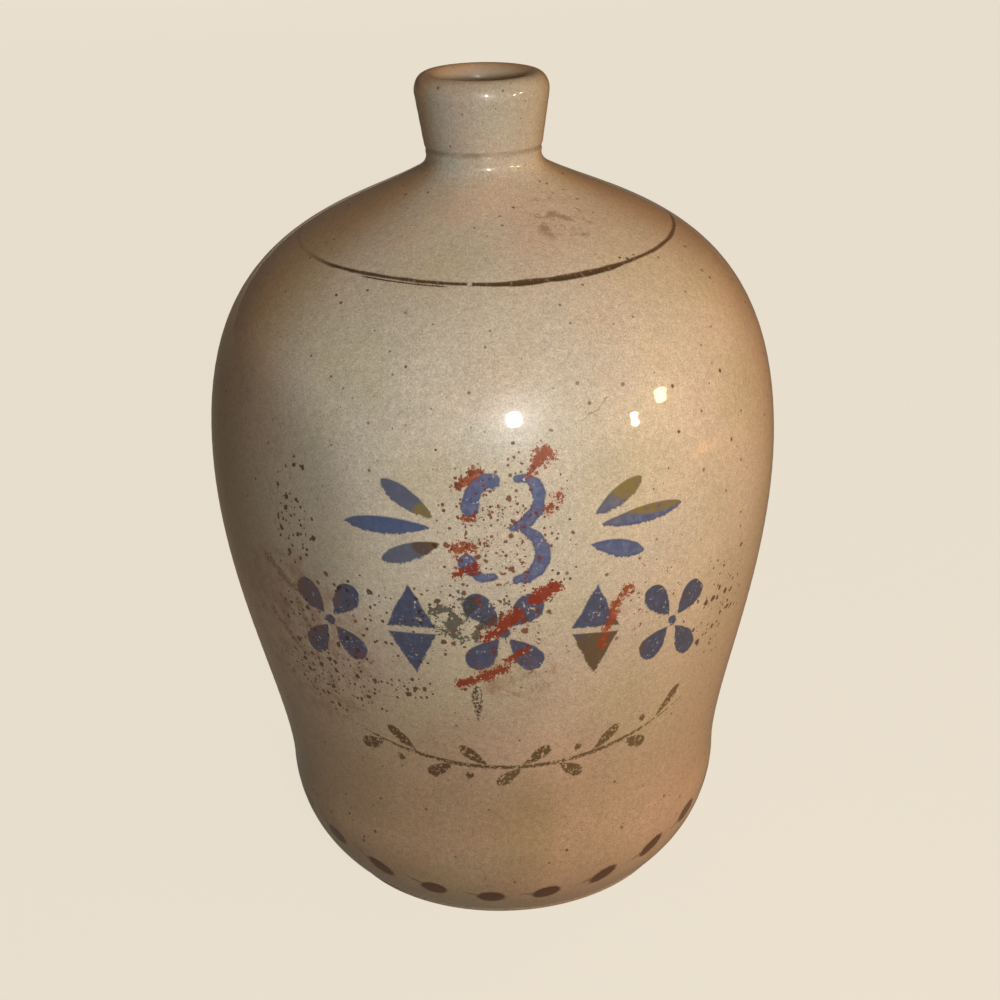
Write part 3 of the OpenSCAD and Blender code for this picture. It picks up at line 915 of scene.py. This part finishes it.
def strapColumns(form, outline):  # lines from root to root: places and ways outward
    joint, throatR, waistR = jointZ / mm, neckForm["throatD"] / 2, shoulderForm["waistD"] / 2
    root = Vector((throatR / 2, joint + form["rootH"]))
    last = Vector((form["foot"], outlineAt(form["foot"], outline)[0] - form["rootThick"]))
    steps = form["rings"] * 2
    middle = curve([root, ((form["reach"] + waistR) / 2, root.y + form["rise"]),
                    (form["reach"], root.y - form["drop"]), last], steps)
    columns = [[] for _ in range(form["sides"])]
    for i, centre in enumerate(middle):
        t = i / steps
        way = (middle[min(i + 1, steps)] - middle[max(i - 1, 0)]).normalized()
        swell = abs(1 - 2 * t) ** form["spreadPower"]
        rootWide = form["neckWide"] if t < 0.5 else form["footWide"]
        halfW = (form["wide"] + (rootWide - form["wide"]) * swell) / 2
        halfT = (form["thick"] + (form["rootThick"] - form["thick"]) * swell) / 2
        for j, column in enumerate(columns):
            a = 2 * pi * j / form["sides"]
            groove = form["groove"] * (1 - swell) * max(0, sin(a)) ** form["groovePower"]
            out = halfT * sin(a) - groove
            place = Vector((halfW * cos(a), centre.x - way.y * out, centre.y + way.x * out))
            column.append((place, Vector((cos(a), -way.y * sin(a), way.x * sin(a)))))
    return columns


def rootStep(form, column, outline, atNeck):  # how far along a side it has sunk into the clay
    steps = range(len(column) // 2, -1, -1) if atNeck else range(len(column) // 2, len(column))
    before = None
    for i in steps:
        gap = clayGap(column[i][0], outline, atNeck)[0]
        if before is not None and gap <= -form["sink"]:
            share = (before + form["sink"]) / (before - gap)
            return i + (1 - share) * (1 if atNeck else -1)
        before = gap
    return float(steps[-1])


def handleMesh(form, outline):
    rings, sides = form["rings"], form["sides"]
    lines, faces = [], []
    for column in strapColumns(form, outline):
        start, end = rootStep(form, column, outline, True), rootStep(form, column, outline, False)
        line = []
        for k in range(rings + 1):
            u = k / rings
            at = start + (end - start) * (u - 0.12 * sin(2 * pi * u))  # closer rings towards both roots
            i = min(int(at), len(column) - 2)
            place = column[i][0].lerp(column[i + 1][0], at - i)
            outward = column[i][1].lerp(column[i + 1][1], at - i)
            gap, face = clayGap(place, outline, u < 0.5)
            spread = form["neckFillet"] if u < 0.5 else form["footFillet"]
            near = max(0, 1 - max(gap, 0) / spread)
            along = (outward - face * outward.dot(face)).normalized()
            place = place + along * spread * (1 - sqrt(1 - near * near))
            line.append((place, max(0, 1 - abs(gap) / form["crease"])))
        lines.append(line)
    verts = [line[k][0] * mm for k in range(rings + 1) for line in lines]
    creases = [line[k][1] for k in range(rings + 1) for line in lines]
    for i in range(rings):
        for j in range(sides):
            a, b = i * sides + j, i * sides + (j + 1) % sides
            faces.append((a, a + sides, b + sides, b))
    for first, turned in ((0, True), (rings * sides, False)):  # both ends are closed
        rim = [first + j for j in range(sides)]
        verts.append(sum((verts[v] for v in rim), Vector()) / sides)
        creases.append(0)
        for a, b in zip(rim, rim[1:] + rim[:1]):
            faces.append((a, b, len(verts) - 1) if turned else (b, a, len(verts) - 1))
    data = bpy.data.meshes.new("handle_pulled")
    data.from_pydata(verts, [], faces)
    data.polygons.foreach_set("use_smooth", [True] * len(faces))
    data.attributes.new("groove", "FLOAT", "POINT").data.foreach_set("value", creases)
    data.materials.append(materials["handle"])
    return addObject("handle_pulled", data)


pieces["handle"] = handleMesh(strap, shapes["shoulder"][0])
print("handle pulled")

for nodeName, piece in pieces.items():
    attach(piece, "root")
    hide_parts(nodeName)


# Floor, backdrop and light

studio = {
    "backdrop": "E8DFCD",
    "floorGlow": "FDF3E1",  # the part of the floor's look that is its own pale colour
    "floorMatte": "968C7A",  # the part that takes light and shadow
    "glowShare": 0.80,
    "mirrorShare": 0.07,
    "ambient": 0.03,
    "ambientShade": "D8C8B4",
    "floorSize": 12,
}


def rayShare(tree, seen, mirrored):  # how much of the pale colour the camera finds, and a glossy surface
    rays = node(tree, "ShaderNodeLightPath").outputs
    camera, glossy, through = (Field(rays["Is " + kind + " Ray"]) for kind in ("Camera", "Glossy", "Transmission"))
    return (camera * seen).most(glossy.most(through) * mirrored)


def mixShaders(share, first, second):
    made = node(share.tree, "ShaderNodeMixShader")
    for socket, value in zip(made.inputs, (share, first.outputs[0], second.outputs[0])):
        plug(socket, value)
    return made.outputs[0]


def emptyTree(owner):
    owner.use_nodes = True
    owner.node_tree.nodes.clear()
    return owner.node_tree


def paleMaterial(place):
    material = bpy.data.materials.new("paleFloor")
    tree = emptyTree(material)
    matte = node(tree, "ShaderNodeBsdfDiffuse", Color=place["floorMatte"])
    glow = node(tree, "ShaderNodeEmission", Color=place["floorGlow"], Strength=1)
    mixed = mixShaders(rayShare(tree, place["glowShare"], place["mirrorShare"]), matte, glow)
    node(tree, "ShaderNodeOutputMaterial", Surface=mixed)
    return material


def paleWorld(place):
    world = bpy.data.worlds.new("paleRoom")
    bpy.context.scene.world = world
    tree = emptyTree(world)
    room = node(tree, "ShaderNodeBackground", Color=place["ambientShade"], Strength=place["ambient"])
    shown = node(tree, "ShaderNodeBackground", Color=place["backdrop"], Strength=1)
    mixed = mixShaders(rayShare(tree, 1, place["mirrorShare"]), room, shown)
    node(tree, "ShaderNodeOutputWorld", Surface=mixed)


def floorPiece(place):
    half = place["floorSize"] / 2
    data = bpy.data.meshes.new("floor")
    data.from_pydata([(-half, -half, 0), (half, -half, 0), (half, half, 0), (-half, half, 0)], [], [(0, 1, 2, 3)])
    data.materials.append(paleMaterial(place))
    addObject("floor", data)


# Each lamp: where it stands in metres, its width and height, power in watts and colour. All face the jug's middle
lamps = {
    "keyLamp": ((0.115, -0.818, 0.520), (0.066, 0.078), 3.9, "FFFDF8"),
    "warmLampNear": ((1.235, -0.849, 0.472), (0.085, 0.115), 2.4, "FFD6A0"),
    "warmLampFar": ((1.382, -0.514, 0.580), (0.155, 0.135), 2.1, "FFD094"),
    "warmLow": ((1.38, -0.15, 0.08), (0.4, 0.15), 5.8, "FFB870"),
    "warmSide": ((1.05, 0.45, 1.10), (0.5, 0.5), 3.3, "FFC486"),
    "warmTop": ((0.1, -0.3, 1.3), (0.6, 0.6), 2, "FFC078"),
    "backSoft": ((-0.5, 4, 1.1), (1.5, 1.5), 38, "FFEBD4"),
}
softFills = ("warmLow", "warmSide", "warmTop", "backSoft")  # they leave no bright spot in the glaze
lampAim = Vector((0, 0, 0.21))


def placeLamp(name, place, size, power, shade):
    data = bpy.data.lights.new(name, "AREA")
    data.shape = "ELLIPSE"
    data.size, data.size_y = size
    data.energy = power
    data.color = colour(shade)[:3]
    lamp = addObject(name, data)
    lamp.location = place
    lamp.visible_glossy = name not in softFills
    lamp.rotation_euler = (lampAim - Vector(place)).to_track_quat("-Z", "Y").to_euler()


floorPiece(studio)
paleWorld(studio)
for name, (place, size, power, shade) in lamps.items():
    placeLamp(name, place, size, power, shade)
bpy.context.scene.view_settings.view_transform = "Standard"
print("studio lit")
